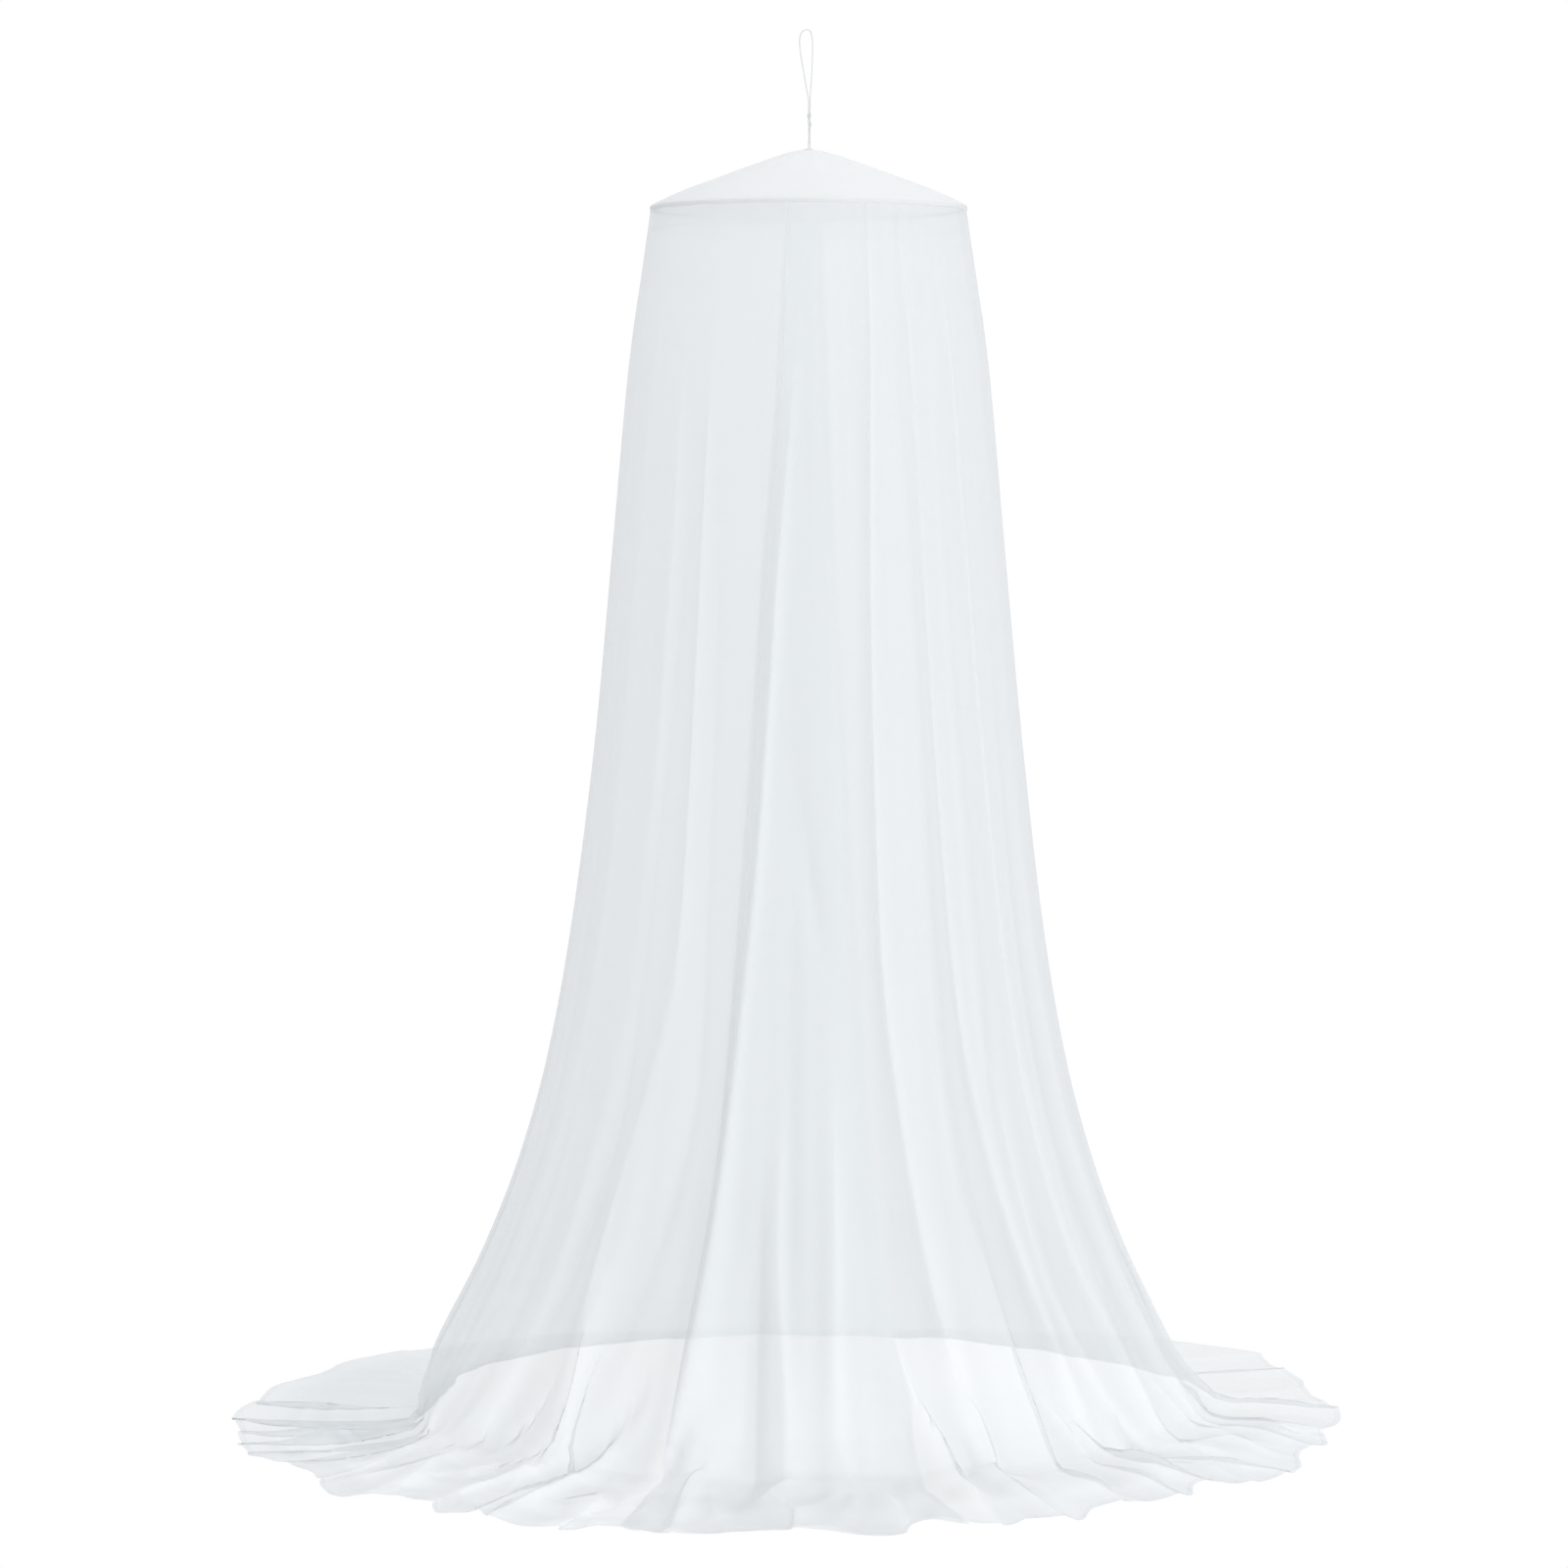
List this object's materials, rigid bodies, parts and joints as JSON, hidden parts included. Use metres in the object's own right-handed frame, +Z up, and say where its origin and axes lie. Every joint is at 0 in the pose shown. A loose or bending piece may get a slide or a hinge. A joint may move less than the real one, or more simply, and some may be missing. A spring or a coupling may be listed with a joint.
{
  "type": "mosquito net canopy with hoop",
  "caption": "Sheer bed canopy: a net hung round a hoop under a shallow cone roof, lapped open at the front, its hem spread on the floor, with a string loop to hang it by.",
  "frame": {"origin": "the point inside the top of the string loop where a ceiling hook carries the canopy", "axes": "+Z up along the canopy's axis; -Y is the front, where the two upright edges of the net lap; +X to the right as seen from the front"},
  "size_m": [2.1047, 2.0325, 2.6396],
  "materials": {
    "net": "sheer fine-mesh knitted net, off-white, matt",
    "roof_cloth": "closer white cloth, matt",
    "band_cloth": "white casing strip, matt",
    "hoop": "white coated rod, satin",
    "string": "pale grey twisted string, matt"
  },
  "bodies": {
    "root": {"net": "net", "roof": "roof_cloth", "heading_band": "band_cloth", "apex_patch": "band_cloth", "hoop": "hoop", "cord_twist": "string", "cord_knot": "string", "cord_loop": "string"}
  },
  "joints": []
}
